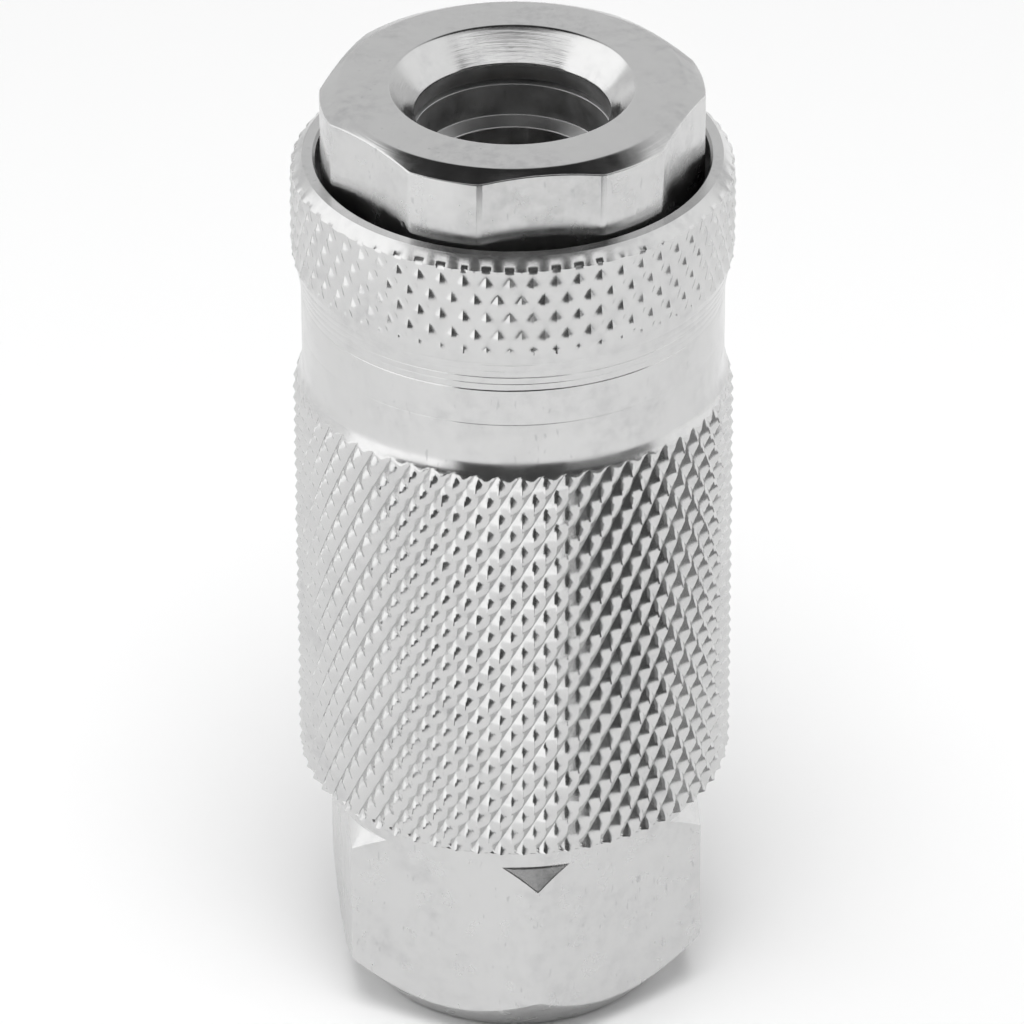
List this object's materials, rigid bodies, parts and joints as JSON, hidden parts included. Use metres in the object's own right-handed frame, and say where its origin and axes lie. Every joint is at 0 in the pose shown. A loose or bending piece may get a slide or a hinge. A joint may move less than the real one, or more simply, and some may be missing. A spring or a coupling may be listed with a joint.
{
  "type": "quick disconnect coupler",
  "caption": "Steel quick disconnect coupler with a hex nose, a knurled spring-loaded sleeve that frees the locking balls, a valve and a threaded hex inlet.",
  "frame": {"origin": "centre of the inlet's end face, which is the bottom of the part", "axes": "+Z along the coupler's axis from the inlet to the mouth that takes the plug; -Y towards the viewer"},
  "size_m": [0.0254, 0.0254, 0.0584],
  "materials": {
    "plated_steel": "bright zinc plate over turned and knurled steel",
    "spring_wire": "plain drawn spring steel",
    "washer_steel": "plain pressed steel",
    "ball_steel": "ground and polished",
    "seal_rubber": "smooth matte black",
    "ring_plastic": "smooth off-white",
    "gasket_fibre": "matt red-brown fibre",
    "valve_brass": "turned brass"
  },
  "bodies": {
    "coupler_body": {"inlet_body": "plated_steel", "nose_body": "plated_steel", "valve_seat": "valve_brass", "seal_backup_ring": "ring_plastic", "plug_seal": "seal_rubber", "body_gasket": "gasket_fibre", "valve_guide": "valve_brass", "spring_seat_washer": "washer_steel", "sleeve_spring": "spring_wire", "valve_spring": "spring_wire"},
    "sleeve_carrier": {"spring_slip_washer": "washer_steel"},
    "sleeve": {"outer_sleeve": "plated_steel"},
    "valve": {"valve_head": "valve_brass", "valve_stem": "washer_steel", "valve_seal": "seal_rubber"},
    "locking_ball_1": {"locking_ball_1": "ball_steel"},
    "locking_ball_2": {"locking_ball_2": "ball_steel"},
    "locking_ball_3": {"locking_ball_3": "ball_steel"},
    "locking_ball_4": {"locking_ball_4": "ball_steel"},
    "locking_ball_5": {"locking_ball_5": "ball_steel"},
    "locking_ball_6": {"locking_ball_6": "ball_steel"}
  },
  "joints": [
    {"name": "sleeve_slide", "type": "slide", "parent": "coupler_body", "child": "sleeve_carrier", "axis": [0, 0, -1], "range_m": [0, 0.00225], "stiffness_N_per_m": 3000, "springref_m": -0.006, "deforming": ["sleeve_spring"]},
    {"name": "sleeve_spin", "type": "hinge", "parent": "sleeve_carrier", "child": "sleeve", "pos_m": [0, 0, 0.0342], "axis": [0, 0, 1], "continuous": true},
    {"name": "valve_slide", "type": "slide", "parent": "coupler_body", "child": "valve", "axis": [0, 0, -1], "range_m": [0, 0.004], "stiffness_N_per_m": 800, "springref_m": -0.006, "deforming": ["valve_spring"]},
    {"name": "ball_1_slide", "type": "slide", "parent": "coupler_body", "child": "locking_ball_1", "axis": [0.9336, -0.3584, 0], "range_m": [0, 0.0006]},
    {"name": "ball_2_slide", "type": "slide", "parent": "coupler_body", "child": "locking_ball_2", "axis": [0.7771, 0.6293, 0], "range_m": [0, 0.0006]},
    {"name": "ball_3_slide", "type": "slide", "parent": "coupler_body", "child": "locking_ball_3", "axis": [-0.1564, 0.9877, 0], "range_m": [0, 0.0006]},
    {"name": "ball_4_slide", "type": "slide", "parent": "coupler_body", "child": "locking_ball_4", "axis": [-0.9336, 0.3584, 0], "range_m": [0, 0.0006]},
    {"name": "ball_5_slide", "type": "slide", "parent": "coupler_body", "child": "locking_ball_5", "axis": [-0.7771, -0.6293, 0], "range_m": [0, 0.0006]},
    {"name": "ball_6_slide", "type": "slide", "parent": "coupler_body", "child": "locking_ball_6", "axis": [0.1564, -0.9877, 0], "range_m": [0, 0.0006]}
  ],
  "couplings": [
    {"joint": "ball_1_slide", "follows": "sleeve_slide", "ratio": 0.26666},
    {"joint": "ball_2_slide", "follows": "sleeve_slide", "ratio": 0.26666},
    {"joint": "ball_3_slide", "follows": "sleeve_slide", "ratio": 0.26666},
    {"joint": "ball_4_slide", "follows": "sleeve_slide", "ratio": 0.26666},
    {"joint": "ball_5_slide", "follows": "sleeve_slide", "ratio": 0.26666},
    {"joint": "ball_6_slide", "follows": "sleeve_slide", "ratio": 0.26666}
  ]
}
